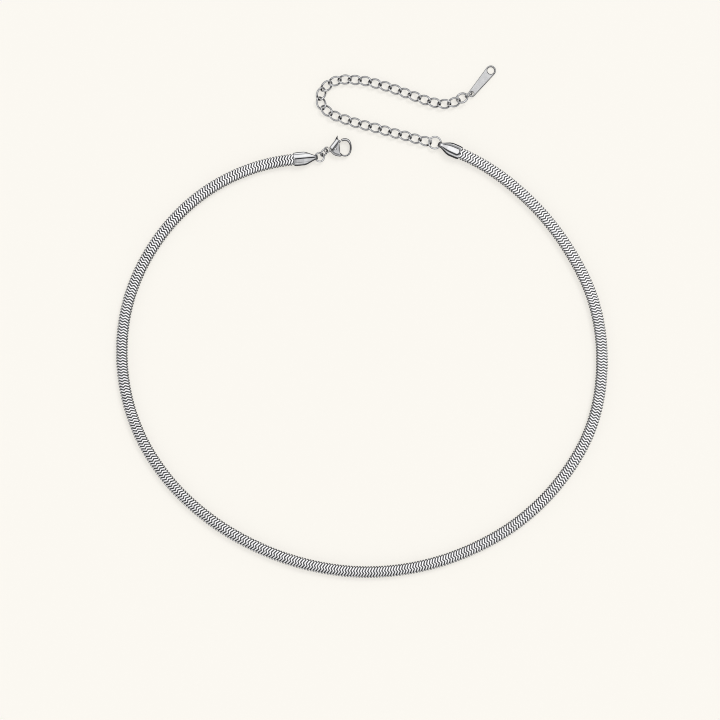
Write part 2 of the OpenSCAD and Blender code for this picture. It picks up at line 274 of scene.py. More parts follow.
def steel(name, colour, dark, rough, rough_var, grain, bump, brushed=None, painted_shade_at=(0.0, 1.0)):
    """Polished or satin stainless steel: faint cloudiness in colour and roughness, fine
    scratches in the bump, and painted shade in hollows and on sides where the shade value is high."""
    m = bpy.data.materials.new(name)
    m.use_nodes = True
    nt = m.node_tree
    bsdf = nt.nodes["Principled BSDF"]
    bsdf.inputs["Metallic"].default_value = 1.0
    bsdf.inputs["IOR"].default_value = 2.4
    tc = node(nt, "ShaderNodeTexCoord")
    # faint cloudiness
    cloud = node(nt, "ShaderNodeTexNoise")
    cloud.inputs["Scale"].default_value = 900.0
    cloud.inputs["Detail"].default_value = 4.0
    nt.links.new(tc.outputs["Object"], cloud.inputs["Vector"])
    shade = node(nt, "ShaderNodeValToRGB")
    shade.color_ramp.elements[0].position = 0.32
    shade.color_ramp.elements[0].color = [c * 0.9 for c in colour] + [1]
    shade.color_ramp.elements[1].position = 0.62
    shade.color_ramp.elements[1].color = list(colour) + [1]
    nt.links.new(cloud.outputs["Fac"], shade.inputs["Fac"])
    # painted shade: the base colour runs to the dark colour as the shade value rises
    att = node(nt, "ShaderNodeAttribute", attribute_name="painted_shade")
    fall = node(nt, "ShaderNodeMapRange")
    fall.inputs["From Min"].default_value = painted_shade_at[0]
    fall.inputs["From Max"].default_value = painted_shade_at[1]
    nt.links.new(att.outputs["Fac"], fall.inputs["Value"])
    mix = node(nt, "ShaderNodeMix", data_type="RGBA")
    mix.inputs["B"].default_value = list(dark) + [1]
    nt.links.new(fall.outputs["Result"], mix.inputs["Factor"])
    nt.links.new(shade.outputs["Color"], mix.inputs["A"])
    nt.links.new(mix.outputs["Result"], bsdf.inputs["Base Color"])
    # roughness
    patch = node(nt, "ShaderNodeTexNoise")
    patch.inputs["Scale"].default_value = 2600.0
    patch.inputs["Detail"].default_value = 3.0
    nt.links.new(tc.outputs["Object"], patch.inputs["Vector"])
    span = node(nt, "ShaderNodeMapRange")
    span.inputs["From Min"].default_value = 0.3
    span.inputs["From Max"].default_value = 0.7
    span.inputs["To Min"].default_value = rough
    span.inputs["To Max"].default_value = rough + rough_var
    nt.links.new(patch.outputs["Fac"], span.inputs["Value"])
    nt.links.new(span.outputs["Result"], bsdf.inputs["Roughness"])
    # fine scratches: noise stretched along one way
    mp = node(nt, "ShaderNodeMapping")
    turn, stretch = brushed if brushed else (0.6, (1.0, 9.0, 4.0))
    mp.inputs["Rotation"].default_value = (0, 0, turn)
    mp.inputs["Scale"].default_value = stretch
    nt.links.new(tc.outputs["Object"], mp.inputs["Vector"])
    fine = node(nt, "ShaderNodeTexNoise")
    fine.inputs["Scale"].default_value = grain
    fine.inputs["Detail"].default_value = 5.0
    nt.links.new(mp.outputs["Vector"], fine.inputs["Vector"])
    bm = node(nt, "ShaderNodeBump")
    bm.inputs["Strength"].default_value = bump
    bm.inputs["Distance"].default_value = 0.00002
    nt.links.new(fine.outputs["Fac"], bm.inputs["Height"])
    nt.links.new(bm.outputs["Normal"], bsdf.inputs["Normal"])
    return m


# the second colour of each steel is its painted shade colour
plate_steel = steel("plate_steel", (0.97, 0.97, 0.972), (0.05, 0.051, 0.055), 0.13, 0.07, 3200, 0.2)
shaded_core_steel = steel("shaded_core_steel", (0.17, 0.17, 0.18), (0.02, 0.02, 0.022), 0.38, 0.1, 3000, 0.3)
cap_steel = steel("cap_steel", (0.84, 0.84, 0.845), (0.02, 0.02, 0.024), 0.13, 0.07, 2400, 0.15)
wire_steel = steel("wire_steel", (0.96, 0.96, 0.965), (0.012, 0.012, 0.014), 0.17, 0.08, 2800, 0.15)
clasp_steel = steel("clasp_steel", (0.80, 0.80, 0.81), (0.02, 0.02, 0.024), 0.13, 0.08, 2400, 0.15)
tag_steel = steel("tag_steel", (0.67, 0.67, 0.675), (0.05, 0.05, 0.053), 0.32, 0.1, 3600, 0.3,
                  brushed=(-0.88, (0.8, 3.0, 2.0)))


def dress(ob, mat, slot, *nodes, body="necklace"):
    ob.data.materials.clear()
    ob.data.materials.append(mat)
    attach(ob, body)
    if nodes:
        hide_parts(*nodes)
    return ob


# ------------------------------------------------------------------ snake chain
LOOP_AT = np.array([0.3, -12.4]) + LAY
LOOP_R = np.array([56.98, 61.08, 64.62, 67.23, 68.71, 69.34, 68.67, 67.1, 64.65, 62.07, 60.15, 59.25, 59.27,
                   59.94, 61.32, 63.48, 65.8, 67.96, 68.66, 68.71, 67.7, 67.1, 66.9, 66.2, 64.5])
LEFT_A, RIGHT_A, TUCK_A, RISE_A, CAP_Z = 108.4, 425.1, 1.7, 8.0, 1.3
CHAIN_W, CHAIN_T = 3.24, 2.0


def loop_r(a):
    s = (np.asarray(a, float) - 90) / 15
    i = np.floor(s).astype(int)
    t = s - i
    p0, p1, p2, p3 = (LOOP_R[np.clip(i + k, 0, len(LOOP_R) - 1)] for k in (-1, 0, 1, 2))
    return 0.5 * (2 * p1 + (p2 - p0) * t + (2 * p0 - 5 * p1 + 4 * p2 - p3) * t * t
                  + (3 * p1 - p0 - 3 * p2 + p3) * t ** 3)


def loop_xy(a):
    r, w = loop_r(a), np.radians(a)
    return LOOP_AT + np.stack([r * np.cos(w), r * np.sin(w)], -1)


def loop_dir(a):
    d = loop_xy(np.asarray(a) + 0.5) - loop_xy(np.asarray(a) - 0.5)
    return d / np.linalg.norm(d, axis=-1, keepdims=True)


A_FINE = np.linspace(LEFT_A - TUCK_A, RIGHT_A + TUCK_A, 8001)
XY_FINE = loop_xy(A_FINE)
L_FINE = np.concatenate([[0], np.cumsum(np.linalg.norm(np.diff(XY_FINE, axis=0), axis=1))])
CHAIN_LEN = L_FINE[-1]


def chain_point(length, side, up):
    """Point at a length along the chain, side mm outward and up mm above its middle."""
    L = np.clip(length, 0, CHAIN_LEN)
    a = np.interp(L, L_FINE, A_FINE)
    x = np.interp(L, L_FINE, XY_FINE[:, 0])
    y = np.interp(L, L_FINE, XY_FINE[:, 1])
    d = loop_dir(a)
    z = CHAIN_T / 2 + (CAP_Z - CHAIN_T / 2) * np.maximum(ease((LEFT_A + RISE_A - a) / RISE_A),
                                                       ease((a - RIGHT_A + RISE_A) / RISE_A))
    tuck = np.maximum(ease((LEFT_A + 0.5 - a) / 0.5), ease((a - RIGHT_A + 0.5) / 0.5))
    side = side * (1 - 0.065 * tuck) - 0.055 * ease(np.asarray(side) / 1.5)
    extra = length - L
    return np.stack([x + d[..., 1] * side + d[..., 0] * extra, y - d[..., 0] * side + d[..., 1] * extra, z + up], -1)


def oblong(n, a, b, r, crown):
    """n points spaced evenly round a flat bar's section with round edges of radius r and
    faces that rise by crown to their middle, with the outward normals."""
    w = np.linspace(0, 2 * np.pi, 8001)[:-1]
    c, s = np.cos(w), np.sin(w)
    # support point of the rounded rectangle in each direction, then the straight runs filled in
    q = np.stack([np.sign(c) * (a - r) + r * c, np.sign(s) * (b - r) + r * s], -1)
    parts, turns = [], []
    for k in range(len(q)):
        p0, p1 = q[k], q[(k + 1) % len(q)]
        m = max(1, int(np.linalg.norm(p1 - p0) / 0.01))
        for j in range(m):
            parts.append(p0 + (p1 - p0) * j / m)
            turns.append((c[k], s[k]))
    q, t = np.array(parts), np.array(turns)
    flat = np.clip(1 - (q[:, 0] / a) ** 2, 0, 1)
    q[:, 1] += np.sign(t[:, 1]) * crown * (flat - 1) * np.abs(t[:, 1])
    seg = np.linalg.norm(np.roll(q, -1, 0) - q, axis=1)
    run = np.concatenate([[0], np.cumsum(seg)])
    at = (np.arange(n) + 0.5) / n * run[-1]
    closed = np.vstack([q, q[:1]])
    pts = np.stack([np.interp(at, run, closed[:, k]) for k in (0, 1)], -1)
    d = np.stack([np.interp((at + 0.02) % run[-1], run, closed[:, k]) - np.interp((at - 0.02) % run[-1], run, closed[:, k]) for k in (0, 1)], -1)
    g = np.stack([d[:, 1], -d[:, 0]], -1)
    return pts, g / np.linalg.norm(g, axis=1, keepdims=True)


PITCH = 0.811
LEAN = 0.70      # how far a plate runs forward across its outer part
BACK = 0.46      # how far it steps back at the middle
LEAN_IN = 0.63   # how far it runs forward again across its inner part


def plate_shift(q):
    """Forward shift of a plate at q, +1 at the outer edge and -1 at the inner one."""
    v = (1 - np.asarray(q)) / 2
    vv = np.linspace(-0.1, 1.1, 601)
    s = np.interp(vv, [0.03, 0.425, 0.575, 0.97], [0, LEAN, LEAN - BACK, LEAN - BACK + LEAN_IN])
    k = np.hanning(31)
    s = np.convolve(np.pad(s, 15, mode="edge"), k / k.sum(), mode="valid")
    return np.interp(v, vv, s)


STATIONS = 44
pts, nrm = oblong(STATIONS, CHAIN_W / 2, CHAIN_T / 2, 0.42, 0.05)
shift = plate_shift(np.clip(pts[:, 0] / (CHAIN_W / 2), -1, 1))
# Profile of a plate: w forward along the chain, depth below the outer face, painted shade value, dark in the gaps
# between plates.
# A rounded ridge, then a low lip that runs on beneath the next plate.
PROFILE = np.array([
    [-0.276, 0.240, 0.85], [-0.256, 0.110, 0.50], [-0.210, 0.016, 0.10], [-0.100, 0.003, 0.0],
    [0.100, 0.003, 0.0], [0.210, 0.016, 0.10], [0.256, 0.110, 0.50], [0.276, 0.240, 0.85], [0.330, 0.340, 0.88],
    [0.530, 0.360, 0.94], [0.500, 0.450, 1.0], [-0.230, 0.450, 1.0]])
count = int((CHAIN_LEN - 0.4) // PITCH)
start = (CHAIN_LEN - (count - 1) * PITCH - shift.max()) / 2
rng = np.random.default_rng(7)
nudge = rng.normal(0, 0.010, count)
tilt = rng.normal(0, 0.016, count)


def plates(lo, hi):
    i = np.arange(lo, hi)
    w = PROFILE[:, 0][None, None, :]
    depth = PROFILE[:, 1][None, None, :] + tilt[i][:, None, None] * w
    length = start + (i * PITCH + nudge[i])[:, None, None] + shift[None, :, None] + w
    side = pts[:, 0][None, :, None] - nrm[:, 0][None, :, None] * depth
    up = pts[:, 1][None, :, None] - nrm[:, 1][None, :, None] * depth
    v = chain_point(length + 0 * side, side + 0 * length, up + 0 * length)
    painted_shade = np.broadcast_to(PROFILE[:, 2][None, None, :], v.shape[:3])
    f = ring_faces(len(i), STATIONS, len(PROFILE), True)[:, ::-1]
    return v.reshape(-1, 3), f, painted_shade.reshape(-1)


runs = np.linspace(0, count, 5).astype(int)
plate_objects = []
for k in range(4):
    v, f, g = plates(runs[k], runs[k + 1])
    ob = make(f"snake_plates_{k + 1}", v, f, sharp=34, painted_shade=g, side=0.6, steep=(0.80, 0.45))
    dress(ob, plate_steel, "chain_steel")
    plate_objects.append(ob)

# dark inner run of the plates, beneath their lips; its dark colour is painted shade
rows = 300
cp, cn = oblong(20, CHAIN_W / 2 - 0.40, CHAIN_T / 2 - 0.40, 0.3, 0.0)
ll = np.linspace(0.05, CHAIN_LEN - 0.05, rows)
core = chain_point(ll[:, None] + 0 * cp[:, 0][None], cp[:, 0][None] + 0 * ll[:, None], cp[:, 1][None] + 0 * ll[:, None])
core_ob = make("snake_core", core.reshape(-1, 3), ring_faces(1, rows, 20, False),
               (np.arange(20), np.arange(rows * 20 - 1, rows * 20 - 21, -1)), sharp=60)
dress(core_ob, shaded_core_steel, "chain_steel", "snake_chain")


# ------------------------------------------------------------------ end caps
CAP_LEN, CAP_W, CAP_H, EYE_R = 6.95, 3.8, 2.56, 0.5
EYE_U = CAP_LEN - 0.75
CAP_TABLE = np.array([
    [0, 1.80, 1.22], [0.8, 1.90, 1.28], [3.0, 1.90, 1.28], [3.9, 1.66, 1.21], [4.8, 1.24, 1.05],
    [5.6, 0.86, 0.90], [6.3, 0.64, 0.85], [6.95, 0.56, 0.78]])
cap_u = np.linspace(-0.5, 7.5, 400)
cap_a = np.convolve(np.pad(np.interp(cap_u, CAP_TABLE[:, 0], CAP_TABLE[:, 1]), 12, mode="edge"), np.hanning(25) / np.hanning(25).sum(), mode="valid")
cap_b = np.convolve(np.pad(np.interp(cap_u, CAP_TABLE[:, 0], CAP_TABLE[:, 2]), 12, mode="edge"), np.hanning(25) / np.hanning(25).sum(), mode="valid")


def band_at(u, v):
    """1 at the edge of the raised band along a cap's back, less inside it, more outside."""
    wb = 0.36 * np.interp(u, cap_u, cap_a) + 0.03 * ease((3.5 - u) / 3.0)
    return np.hypot(v / wb, np.maximum(1.05 - u, 0) / 0.62)


def cap_sdf(u, v, z):
    a, b = np.interp(u, cap_u, cap_a), np.interp(u, cap_u, cap_b)
    # a shell with rounded sides
    r = 0.62 * b
    dv, dz = np.abs(v) - a + r, np.abs(z) - b + r
    body = np.minimum(np.maximum(dv, dz), 0) + np.hypot(np.maximum(dv, 0), np.maximum(dz, 0)) - r
    # flap side, +z: two flaps fall from the seam, each inside a crease along the fold
    fade = ease((6.1 - u) / 0.8)
    roof = (z - b + 0.02 + (0.14 * np.abs(v)) * fade) * 0.98
    fold = 0.02 * np.exp(-((np.abs(v) - 1.22) / 0.08) ** 2) * ease((4.4 - u) / 0.5)
    body = smax(body, np.where(z > 0, roof + fold, -1.0), 0.08)
    # back, -z: a raised middle band, and flanks that dip beside it and rise to the sides
    w = band_at(u, v)
    low = b * (0.15 * ease((w - 1.0) / 0.22) - 0.12 * ease((w - 1.28) / 0.95)) * fade
    back = (-z - b + low) * 0.9
    body = smax(body, np.where(z < 0, back, -1.0), 0.05)
    # ends
    body = smax(body, -u, 0.14)
    tip = np.hypot(np.maximum(u - EYE_U, 0), z) - np.minimum(b, 0.76)
    body = smax(body, np.where(u > EYE_U, tip, u - 20), 0.1)
    body = smax(body, u - CAP_LEN, 0.2)
    # seam between the flaps, their corners rounded at the mouth
    wide = 0.085 + 0.30 * ease((0.55 - u) / 0.5) ** 2
    seam = np.hypot(np.abs(v), np.maximum(0.0, (b - 0.10) - z)) - wide
    seam = np.maximum(seam, u - 6.15)
    body = smax(body, -seam, 0.03)
    # pocket that the chain's end sits in
    pa, pb = CHAIN_W / 2 - 0.04, CHAIN_T / 2 + 0.02
    pv, pz = np.abs(v) - pa + 0.5, np.abs(z) - pb + 0.5
    pocket = np.minimum(np.maximum(pv, pz), 0) + np.hypot(np.maximum(pv, 0), np.maximum(pz, 0)) - 0.5
    pocket = np.maximum(pocket, u - 2.2)
    body = smax(body, -pocket, 0.03)
    # eye
    eye = np.hypot(u - EYE_U, z) - EYE_R
    return smax(body, -eye, 0.06)


cap_v, cap_f = surface(cap_sdf, (-0.15, -2.05, -1.45), (7.1, 2.05, 1.45), 0.046)
cu, cvv, cz = cap_v.T
cb = np.interp(cu, cap_u, cap_b)
# painted shade in the hollows: the seam, the folds, the flanks' bottoms and the pocket, and at the tip
near_seam = np.exp(-(cvv / 0.27) ** 2) * ease((cz - 0.2) / 0.2) * ease((6.3 - cu) / 0.3)
near_fold = np.exp(-((np.abs(cvv) - 1.22) / 0.11) ** 2) * (cz > 0.5) * ease((4.5 - cu) / 0.5) * np.where(cvv > 0, 0.8, 0.3)
cw = band_at(cu, cvv)
near_band = np.where(cvv < 0, 1.0, 0.85) * np.exp(-((cw - np.where(cvv < 0, 1.38, 1.24)) / np.where(cvv < 0, 0.40, 0.25)) ** 2) * ease((-cz - 0.3) / 0.2) * ease((6.4 - cu) / 0.6)
pk = np.hypot(np.maximum(np.abs(cvv) - 1.10, 0), np.maximum(np.abs(cz) - 0.55, 0))
in_pocket = ((cu < 2.25) & (cu > 0.05) & (pk < 0.49)).astype(float)
near_tip = 0.75 * ease((cu - 6.05) / 0.35)
# painted shade: the half below the seam is a little darker
shaded_lower_half = 0.24 * ease((-cvv - 0.05) / 0.2) * ease((cz - 0.2) / 0.2)
cap_painted_shade = np.max([near_seam, near_fold, near_band, in_pocket, near_tip, shaded_lower_half], axis=0)


def cap(name, a, way, flip):
    p = loop_xy(a)
    d = way * loop_dir(a)
    pre = rot("x", 180) if flip else None
    # painted shade along the cap's sloping sides
    return dress(make(name + "_sheet", place(cap_v, (p[0], p[1], CAP_Z), math.atan2(d[1], d[0]), pre),
                      cap_f, painted_shade=cap_painted_shade, side=0.97, steep=(0.95, 0.66)), cap_steel, "cap_steel", name)


cap("end_cap_left", LEFT_A, -1, False)
cap("end_cap_right", RIGHT_A, 1, True)


# ------------------------------------------------------------------ round rings
def contact(v, lines, reach=0.8, most=1.0):
    """Painted shade value of points close to other wires and beneath them: lines are
    (centreline, wire radius)."""
    out = np.zeros(len(v))
    for line, wr in lines:
        lo_, hi_ = line.min(0) - wr - reach, line.max(0) + wr + reach
        at = np.where(np.all((v > lo_) & (v < hi_), axis=1))[0]
        if len(at) == 0:
            continue
        gap = ((v[at][:, None] - line[None]) ** 2).sum(-1)
        k = gap.argmin(1)
        d = np.sqrt(gap[np.arange(len(at)), k]) - wr
        under = 0.55 + 0.45 * ease((line[k, 2] - v[at, 2] + 0.2) / 0.34)
        out[at] = np.maximum(out[at], most * under * ease((reach - d) / reach * 1.4))
    return out


ring_lines = {}


def split_ring(name, r, wire, at, pre, cut_deg, gap=0.05, near=()):
    """A bent wire ring whose two ends meet with a hairline gap at cut_deg, with painted
    shade where it passes the lines in near."""
    turn = np.radians(5.0 * np.arange(72))
    ring_lines[name] = (np.stack([r * np.cos(turn), r * np.sin(turn), 0 * turn], -1) @ np.asarray(pre).T + np.array(at), wire / 2)
    rows_, sides = 84, 18
    half = math.degrees(gap / 2 / r)
    w = np.radians(np.linspace(cut_deg + half, cut_deg + 360 - half, rows_))
    # the ends are slightly rounded
    rr = np.full(rows_, wire / 2)
    w = np.concatenate([[w[0] - 0.0], w, [w[-1] + 0.0]])
    rr = np.concatenate([[wire / 2 * 0.86], rr, [wire / 2 * 0.86]])
    w[1] += 0.02
    w[-2] -= 0.02
    k = np.radians(360 * np.arange(sides) / sides)
    x = (r + rr[:, None] * np.cos(k)) * np.cos(w)[:, None]
    y = (r + rr[:, None] * np.cos(k)) * np.sin(w)[:, None]
    z = rr[:, None] * np.sin(k) + 0 * x
    v = np.stack([x, y, z], -1).reshape(-1, 3)
    v = v @ np.asarray(pre).T + np.array(at)
    n = len(w)
    ob_ = make(name + "_wire", v, ring_faces(1, n, sides, False),
               (np.arange(sides), np.arange(n * sides - 1, (n - 1) * sides - 1, -1)), sharp=60,
               painted_shade=contact(v, near), side=0.65, steep=(0.80, 0.35))
    return dress(ob_, wire_steel, "polished_steel", name)


def eye_ring(name, a, way, r, wire, slope, roll, cut, near=()):
    d = way * loop_dir(a)
    h = math.degrees(math.atan2(d[1], d[0]))
    e = loop_xy(a) + EYE_U * d
    pre = rot("z", h) @ rot("x", roll) @ rot("y", -slope)
    at = np.array([e[0], e[1], CAP_Z]) + pre @ np.array([r, 0, 0])
    # the eye's wall, seen as a short bar along the cap
    bar = (np.array([e[0], e[1], CAP_Z]) + np.outer(np.linspace(-0.6, 0.5, 12), [d[0], d[1], 0]), 0.45)
    split_ring(name, r, wire, at, pre, cut, near=[bar] + list(near))


def ring_line(r, at, pre, wire):
    turn = np.radians(5.0 * np.arange(72))
    return np.stack([r * np.cos(turn), r * np.sin(turn), 0 * turn], -1) @ pre.T + np.array(at), wire / 2


B_AT, B_PRE = (-10.58 + LAY[0], 48.4 + LAY[1], 1.22), rot("z", 50) @ rot("x", 58.5)
TAIL = ring_line(0.77, (-4.63 - 5.15 + LAY[0], 49.82 - 0.63 + LAY[1], 1.0), rot("z", 0), 0.3)
eye_ring("jump_ring_a", LEFT_A, -1, 1.25, 0.5, -4, 0, -70, near=[ring_line(1.15, B_AT, B_PRE, 0.46)])
eye_ring("jump_ring_c", RIGHT_A, 1, 1.72, 0.52, -9, 5, 65)
split_ring("jump_ring_b", 1.15, 0.46, B_AT, B_PRE, 80, near=[ring_lines["jump_ring_a"], TAIL])
split_ring("end_ring", 1.55, 0.58, (28.9 + LAY[0], 64.0 + LAY[1], 1.08), rot("z", 30) @ rot("x", -30), 120)
split_ring("tag_ring", 1.1, 0.36, (30.79 + LAY[0], 64.91 + LAY[1], 1.255), rot("z", 30) @ rot("x", 74), 100, near=[ring_lines["end_ring"], ring_line(0.58, (31.72 + LAY[0], 65.3 + LAY[1], 0.95), rot("z", 0), 0.1)])


# ------------------------------------------------------------------ curb extender
LINK_AT = [
    (18.3, 51.7), (15.4, 52.4), (12.6, 53.2), (9.7, 53.9), (6.8, 54.7),
    (4.0, 55.5), (1.1, 56.2), (-1.8, 57.0), (-4.6, 57.9), (-7.4, 58.9),
    (-9.8, 60.4), (-11.4, 62.5), (-11.4, 65.2), (-9.9, 67.4), (-7.5, 68.8),
    (-4.7, 69.3), (-1.8, 69.2), (1.1, 68.9), (4.0, 68.2), (6.9, 67.4),
    (9.7, 66.5), (12.5, 65.5), (15.3, 64.5), (18.1, 63.5), (20.9, 62.7),
    (23.8, 62.3), (26.6, 62.8)]
LINK_ENDS = ((21.06, 50.96), (29.0, 64.1))
LINK_WIRE, LINK_LEN, LINK_W, LINK_TWIST, LINK_Z = 0.55, 4.18, 2.92, 50.0, 0.86
LINK_ROWS, LINK_SIDES = 72, 14


def link_line(w):
    p = 2.4
    hl, hw = (LINK_LEN - LINK_WIRE) / 2, (LINK_W - LINK_WIRE) / 2
    c, s = np.cos(w), np.sin(w)
    u = hl * np.sign(c) * np.abs(c) ** (2 / p)
    v = hw * np.sign(s) * np.abs(s) ** (2 / p)
    b = np.radians(LINK_TWIST * u / hl)
    return np.stack([u, v * np.cos(b), v * np.sin(b)], -1)


def one_link():
    fine = link_line(np.linspace(0, 2 * np.pi, 3601))
    run = np.concatenate([[0], np.cumsum(np.linalg.norm(np.diff(fine, axis=0), axis=1))])
    at = (np.arange(LINK_ROWS) + 0.5) / LINK_ROWS * run[-1]
    line = np.stack([np.interp(at, run, fine[:, k]) for k in range(3)], -1)
    for _ in range(2):
        line = 0.5 * line + 0.25 * (np.roll(line, 1, 0) + np.roll(line, -1, 0))
    d = np.roll(line, -1, 0) - np.roll(line, 1, 0)
    d /= np.linalg.norm(d, axis=1, keepdims=True)
    o = line - d * (line * d).sum(1, keepdims=True)
    o /= np.linalg.norm(o, axis=1, keepdims=True)
    n = np.cross(d, o)
    k = np.radians(360 * (np.arange(LINK_SIDES) + 0.5) / LINK_SIDES)
    return (line[:, None] + LINK_WIRE / 2 * (np.cos(k)[None, :, None] * o[:, None] + np.sin(k)[None, :, None] * n[:, None])).reshape(-1, 3)


base_link = one_link()
all_links = []
chain_xy = [LINK_ENDS[0]] + LINK_AT + [LINK_ENDS[1]]
for i, (x, y) in enumerate(LINK_AT):
    before, after = chain_xy[i], chain_xy[i + 2]
    h = math.atan2(after[1] - before[1], after[0] - before[0])
    all_links.append(place(base_link, (x + LAY[0], y + LAY[1], LINK_Z), h))
mids = [v_.reshape(LINK_ROWS, LINK_SIDES, 3).mean(1) for v_ in all_links]
more = {0: [ring_lines["jump_ring_c"]], len(mids) - 1: [ring_lines["end_ring"]]}
# painted shade where the links pass through each other and the end rings
shades = [contact(v_, [(mids[j], LINK_WIRE / 2) for j in (i - 1, i + 1) if 0 <= j < len(mids)] + more.get(i, []))
          for i, v_ in enumerate(all_links)]
links = make("extender_links", np.concatenate(all_links), ring_faces(len(LINK_AT), LINK_ROWS, LINK_SIDES, True)[:, ::-1],
             painted_shade=np.concatenate(shades), side=0.3, steep=(0.70, 0.30))
dress(links, wire_steel, "polished_steel", *[f"curb_link_{i + 1:02d}" for i in range(len(LINK_AT))])


# ------------------------------------------------------------------ lobster clasp
CLASP_AT = np.array([-4.63, 49.82]) + LAY
TAIL_AT, PIVOT_AT = (-5.15, -0.63), (-2.65, -0.5)
PALM = chaikin([
    [-4.6, -0.42], [-4.3, -0.46], [-3.74, -0.9], [-3.74, -0.9], [-1.86, 1.66], [-1.66, 1.56],
    [-1.5, 0.6], [-1.42, -0.4], [-1.4, -1.2], [-1.25, -1.7], [-0.95, -2.08],
    [-1.1, -2.52], [-1.9, -2.46], [-2.7, -2.28], [-3.3, -1.95], [-3.72, -1.52],
    [-4.1, -1.12], [-4.6, -0.96]], 2)
SLOT = np.array([[-5.2, 0.5], [-3.72, -1.04], [-0.9, -1.04], [-1.28, 1.3], [-1.36, 3.2], [-5.2, 3.2]])
LEVER = chaikin([
    [-4.34, -0.1], [-4.42, 0.06], [-3.44, 1.3], [-2.88, 2.0], [-2.62, 2.55],
    [-2.2, 3.34], [-2.12, 3.39], [-2.06, 3.34], [-2.08, 2.6], [-1.84, 2.24], [-1.44, 2.06],
    [-1.1, 1.86], [-1.04, 1.62], [-1.42, 1.5], [-1.66, 1.15], [-1.84, 0.4],
    [-2.0, -0.3], [-2.2, -0.95], [-3.1, -0.97], [-3.6, -0.9]], 1)
hook_t = np.radians(np.linspace(-132, 120, 72))
hc, hs = np.cos(hook_t), np.sin(hook_t)
e_ = 2 / 2.3
HOOK = np.stack([1.68 * np.sign(hc) * np.abs(hc) ** e_, -0.03 + 2.32 * np.sign(hs) * np.abs(hs) ** e_], -1)
deg = np.degrees(hook_t)
HOOK_HW = 0.27 + 0.11 * ease((deg - 10) / 60) - 0.06 * ease((-deg - 10) / 60) - 0.05 * ease((deg - 100) / 20)


def hook_sdf(x, y, z):
    best = np.full(np.shape(x), 1e9)
    for i in range(len(HOOK) - 1):
        ax_, ay_ = HOOK[i]
        ex, ey = HOOK[i + 1] - HOOK[i]
        t = np.clip(((x - ax_) * ex + (y - ay_) * ey) / (ex * ex + ey * ey), 0, 1)
        hw = HOOK_HW[i] + (HOOK_HW[i + 1] - HOOK_HW[i]) * t
        d = np.hypot(x - ax_ - ex * t, y - ay_ - ey * t)
        best = np.minimum(best, d / hw)
    # oval section, 0.68 high either way
    arm = (np.sqrt(best * best + (z / 0.68) ** 2) - 1) * 0.34
    # its nose ends squarely, with an eased rim
    end = HOOK[-1] - HOOK[-2]
    end = end / np.linalg.norm(end)
    cut = (x - HOOK[-1][0]) * end[0] + (y - HOOK[-1][1]) * end[1]
    return smax(arm, np.where(np.asarray(y) > 0, cut, -2.0), 0.12)


def clasp_sdf(x, y, z):
    zz = z - 1.0
    d2 = plan_sdf(x, y, PALM)
    # faces of the palm rise from its edge and dip a little in a long hollow beside the rivet
    palm = slab(d2, zz, 1.0, 0.30)
    rise = (np.abs(zz) - 0.80 - 0.34 * np.clip(-d2, 0, 0.62)) * 0.94
    palm = smax(palm, rise, 0.10)
    hook = hook_sdf(x, y, zz)
    body = smin(palm, hook, 0.10)
    ring = np.hypot((np.hypot(x - TAIL_AT[0], y - TAIL_AT[1]) - 0.77) / 0.15, zz / 0.26) - 1
    body = smin(body, ring * 0.16, 0.14)
    hole = np.hypot(x - TAIL_AT[0], y - TAIL_AT[1]) - 0.62
    body = smax(body, -hole, 0.04)
    slot = np.maximum(poly_like(x, y), np.abs(zz) - 0.58)
    hub = np.maximum(np.hypot(x - PIVOT_AT[0], y - PIVOT_AT[1]) - 0.82, np.abs(zz) - 0.58)
    body = smax(body, -np.minimum(slot, hub), 0.05)
    bore = np.hypot(x - PIVOT_AT[0], y - PIVOT_AT[1]) - 0.31
    return smax(body, -bore, 0.05)


def poly_like(x, y):
    return plan_sdf(x, y, SLOT)


cv, cf = surface(clasp_sdf, (-6.3, -2.8, -0.1279), (2.25, 2.8, 2.1), 0.05)
# painted shade where the palm meets the hook and along the lever's edge
to_hook = np.abs(hook_sdf(cv[:, 0], cv[:, 1], cv[:, 2] - 1.0))
to_palm = np.abs(poly_sdf(cv[:, 0], cv[:, 1], PALM))
clasp_painted_shade = 0.8 * np.exp(-((to_hook + to_palm) / 0.16) ** 2)
clasp_painted_shade = np.maximum(clasp_painted_shade, 0.9 * (np.abs(cv[:, 2] - 1.0) < 0.6) * (poly_sdf(cv[:, 0], cv[:, 1], SLOT) < 0.12)
                          * (hook_sdf(cv[:, 0], cv[:, 1], cv[:, 2] - 1.0) > 0.03))


def near_line(p, a, b):
    a, b = np.array(a, float), np.array(b, float)
    t = np.clip(((p[:, :2] - a) @ (b - a)) / ((b - a) @ (b - a)), 0, 1)
    return np.hypot(p[:, 0] - a[0] - t * (b - a)[0], p[:, 1] - a[1] - t * (b - a)[1])


clasp_painted_shade = np.maximum(clasp_painted_shade, 0.8 * np.exp(-(near_line(cv, (-1.22, -1.5), (-0.95, -2.3)) / 0.26) ** 2))
# painted shade along the edge that the lever lies against, and in a hollow in the palm's face
clasp_painted_shade = np.maximum(clasp_painted_shade, 0.97 * np.exp(-(near_line(cv, (-3.8, -0.98), (-1.78, 1.72)) / 0.21) ** 2))
clasp_painted_shade = np.maximum(clasp_painted_shade, 0.85 * np.exp(-(near_line(cv, (-1.60, 1.30), (-1.38, -1.50)) / 0.15) ** 2))
inner = -poly_sdf(cv[:, 0], cv[:, 1], PALM)
# painted shade on the hook's right side
clasp_painted_shade = np.maximum(clasp_painted_shade, 0.82 * ease((50 - np.abs(np.degrees(np.arctan2(cv[:, 1], cv[:, 0])))) / 30))
clasp_painted_shade = np.maximum(clasp_painted_shade, 0.42 * ease((inner - 0.16) / 0.2) * (np.abs(cv[:, 2] - 1) > 0.7))
clasp = make("clasp_body_cast", place(cv, (CLASP_AT[0], CLASP_AT[1], 0)), cf, painted_shade=clasp_painted_shade, side=0.7, steep=(0.90, 0.50))
dress(clasp, clasp_steel, "clasp_steel", "clasp_body")


